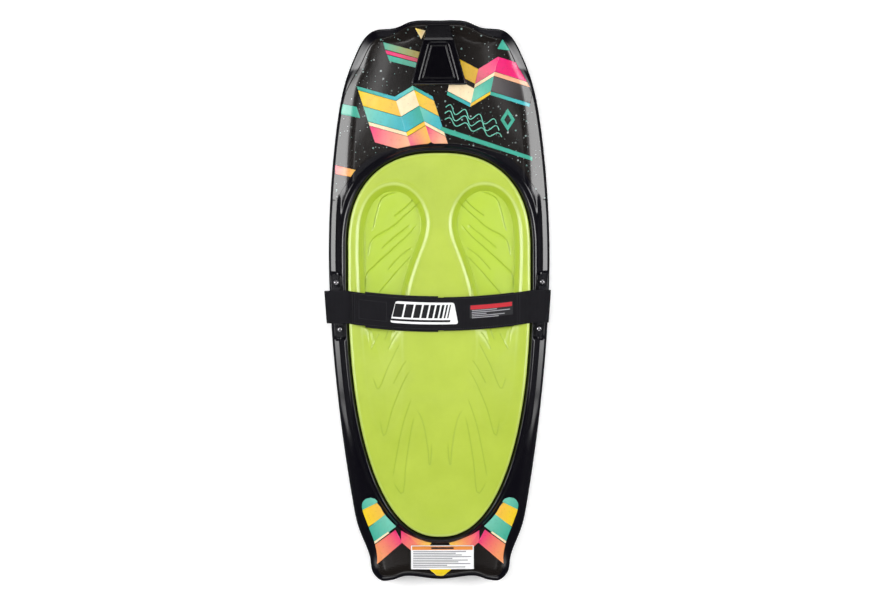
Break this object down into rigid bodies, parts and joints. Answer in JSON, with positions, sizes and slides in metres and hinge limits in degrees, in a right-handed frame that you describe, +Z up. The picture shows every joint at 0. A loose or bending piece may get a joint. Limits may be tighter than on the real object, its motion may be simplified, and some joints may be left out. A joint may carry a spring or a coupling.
{
  "type": "kneeboard",
  "caption": "Towed kneeling board with a foam-filled moulded hull, contoured knee pad, tow handle hook on the nose and a hinged hook-and-loop thigh strap.",
  "frame": {"origin": "middle of the flat part of the bottom, half way along the board and on its centre line", "axes": "+X to the rider's right, +Y toward the nose, +Z up out of the deck"},
  "size_m": [0.5252, 1.3009, 0.124],
  "materials": {
    "hull_plastic": "glossy rotomoulded polyethylene, black with a printed panel at both ends",
    "hook_plastic": "glossy injection moulded nylon",
    "bracket_plastic": "glossy injection moulded nylon",
    "core_foam": "rigid closed cell polyurethane foam",
    "seal_rubber": "matt rubber",
    "pad_foam": "satin compression moulded EVA foam",
    "black_steel": "black oxide stainless steel",
    "bright_steel": "bright stainless steel",
    "brass": "turned brass",
    "webbing": "woven polyester webbing",
    "neoprene": "cloth faced neoprene",
    "hook_and_loop": "hook and loop fastener tape",
    "badge_cloth": "woven badge with a pale border",
    "care_label": "printed cloth label, no lettering",
    "label_film": "printed film, no lettering"
  },
  "bodies": {
    "board": {"fill_plug_seal": "seal_rubber", "foam_core": "core_foam", "foam_fill_plug": "hull_plastic", "hull_shell": "hull_plastic", "knee_pad": "pad_foam", "left_anchor_loop": "webbing", "left_front_bracket_insert": "brass", "left_front_bracket_screw": "bright_steel", "left_front_bracket_washer": "bright_steel", "left_hook_insert": "brass", "left_hook_screw": "black_steel", "left_rear_bracket_insert": "brass", "left_rear_bracket_screw": "bright_steel", "left_rear_bracket_washer": "bright_steel", "left_strap_bracket": "bracket_plastic", "nose_hook": "hook_plastic", "right_anchor_loop": "webbing", "right_front_bracket_insert": "brass", "right_front_bracket_screw": "bright_steel", "right_front_bracket_washer": "bright_steel", "right_hook_insert": "brass", "right_hook_screw": "black_steel", "right_rear_bracket_insert": "brass", "right_rear_bracket_screw": "bright_steel", "right_rear_bracket_washer": "bright_steel", "right_strap_bracket": "bracket_plastic", "tail_label": "label_film"},
    "left_strap_half": {"left_strap": "webbing", "left_strap_padding": "neoprene", "left_strap_loop_patch": "hook_and_loop"},
    "right_strap_half": {"right_strap": "webbing", "right_strap_hook_patch": "hook_and_loop", "right_strap_padding": "neoprene", "strap_badge": "badge_cloth", "strap_care_label": "care_label"}
  },
  "joints": [
    {"name": "right_strap_swing", "type": "hinge", "parent": "board", "child": "right_strap_half", "pos_m": [0.215, 0, 0.081], "axis": [0, 1, 0], "range_deg": [0, 150]},
    {"name": "left_strap_swing", "type": "hinge", "parent": "board", "child": "left_strap_half", "pos_m": [-0.215, 0, 0.081], "axis": [0, 1, 0], "range_deg": [-150, 0]}
  ],
  "couplings": [
    {"joint": "left_strap_swing", "follows": "right_strap_swing", "ratio": -1}
  ]
}
